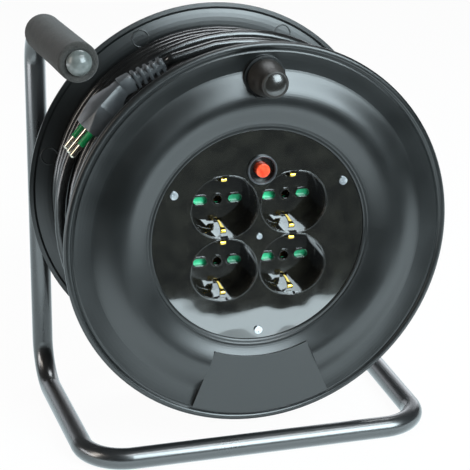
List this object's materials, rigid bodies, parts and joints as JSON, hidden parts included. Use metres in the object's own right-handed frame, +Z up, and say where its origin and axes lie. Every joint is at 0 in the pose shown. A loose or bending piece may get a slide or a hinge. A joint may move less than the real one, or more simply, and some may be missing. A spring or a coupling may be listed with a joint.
{
  "type": "extension cord reel",
  "caption": "Extension cord reel: a moulded drum with sockets and a cut-out button turns on an axle in a bent tube frame with a foam grip; cable with a moulded plug is wound on it.",
  "frame": {"origin": "on the floor under the middle of the reel", "axes": "+Z up, +Y to the back where the frame carries the axle, +X to the right as seen from the sockets; the drum's axis lies along Y"},
  "size_m": [0.2542, 0.1723, 0.2774],
  "materials": {
    "black_tube": "glossy black powder coat",
    "foam": "fine-celled foam, matte",
    "grey_cap": "smooth dark grey",
    "zinc_steel": "zinc plated",
    "drum_plastic": "satin black moulding",
    "core_plastic": "satin black moulding",
    "panel_plastic": "polished black moulding",
    "carrier_plastic": "plain black moulding",
    "brass": "bright strip",
    "cutout_plastic": "smooth black",
    "ring_grey": "satin grey",
    "button_red": "glossy red",
    "spring_steel": "drawn wire",
    "bush_plastic": "plain moulding",
    "knob_plastic": "polished black moulding",
    "shutter_green": "smooth green",
    "cable_pvc": "smooth black sheath",
    "plug_pvc": "soft black moulding",
    "pin_nickel": "nickel plated brass",
    "sleeve_green": "smooth green"
  },
  "bodies": {
    "frame": {"frame_tube": "black_tube", "foam_grip": "foam", "grip_end_cap": "grey_cap", "axle_bracket": "black_tube", "axle_bolt": "zinc_steel", "axle_jam_nut": "zinc_steel", "axle_lock_nut": "zinc_steel", "thrust_washers": "zinc_steel"},
    "drum": {"tie_screws": "zinc_steel", "panel_screws": "zinc_steel", "centre_screw": "zinc_steel", "knob_spindle": "zinc_steel", "knob_nut": "zinc_steel", "clamp_screws": "zinc_steel", "rear_flange": "drum_plastic", "front_flange": "drum_plastic", "drum_core": "core_plastic", "cable_clamp": "core_plastic", "hub_bushes": "bush_plastic", "socket_panel": "panel_plastic", "earth_clips": "brass", "line_busbar": "brass", "neutral_busbar": "brass", "earth_busbar": "brass", "contact_carrier": "carrier_plastic", "cutout_body": "cutout_plastic", "cutout_ring": "ring_grey", "reset_spring": "spring_steel", "shutter_spring_top_left": "spring_steel", "shutter_spring_top_right": "spring_steel", "shutter_spring_bottom_left": "spring_steel", "shutter_spring_bottom_right": "spring_steel", "cable_pack": "cable_pvc", "cable_winding": "cable_pvc", "cable_lead": "cable_pvc", "plug_body": "plug_pvc", "plug_pins": "pin_nickel", "pin_sleeves": "sleeve_green"},
    "crank": {"crank_knob": "knob_plastic", "knob_cap": "knob_plastic"},
    "button": {"reset_button": "button_red"},
    "slider_top_left": {"shutter_top_left": "shutter_green"},
    "slider_top_right": {"shutter_top_right": "shutter_green"},
    "slider_bottom_left": {"shutter_bottom_left": "shutter_green"},
    "slider_bottom_right": {"shutter_bottom_right": "shutter_green"}
  },
  "joints": [
    {"name": "drum_spin", "type": "hinge", "parent": "frame", "child": "drum", "pos_m": [0, 0, 0.1475], "axis": [0, -1, 0], "continuous": true},
    {"name": "knob_spin", "type": "hinge", "parent": "drum", "child": "crank", "pos_m": [0, 0, 0.2515], "axis": [0, -1, 0], "continuous": true},
    {"name": "reset_press", "type": "slide", "parent": "drum", "child": "button", "axis": [0, 1, 0], "range_m": [0, 0.003], "stiffness_N_per_m": 600, "springref_m": -0.002, "deforming": ["reset_spring"]},
    {"name": "shutter_top_left_slide", "type": "slide", "parent": "drum", "child": "slider_top_left", "axis": [0, 0, -1], "range_m": [0, 0.0058], "stiffness_N_per_m": 120, "springref_m": -0.003, "deforming": ["shutter_spring_top_left"]},
    {"name": "shutter_top_right_slide", "type": "slide", "parent": "drum", "child": "slider_top_right", "axis": [0, 0, -1], "range_m": [0, 0.0058], "stiffness_N_per_m": 120, "springref_m": -0.003, "deforming": ["shutter_spring_top_right"]},
    {"name": "shutter_bottom_left_slide", "type": "slide", "parent": "drum", "child": "slider_bottom_left", "axis": [0, 0, -1], "range_m": [0, 0.0058], "stiffness_N_per_m": 120, "springref_m": -0.003, "deforming": ["shutter_spring_bottom_left"]},
    {"name": "shutter_bottom_right_slide", "type": "slide", "parent": "drum", "child": "slider_bottom_right", "axis": [0, 0, -1], "range_m": [0, 0.0058], "stiffness_N_per_m": 120, "springref_m": -0.003, "deforming": ["shutter_spring_bottom_right"]}
  ]
}
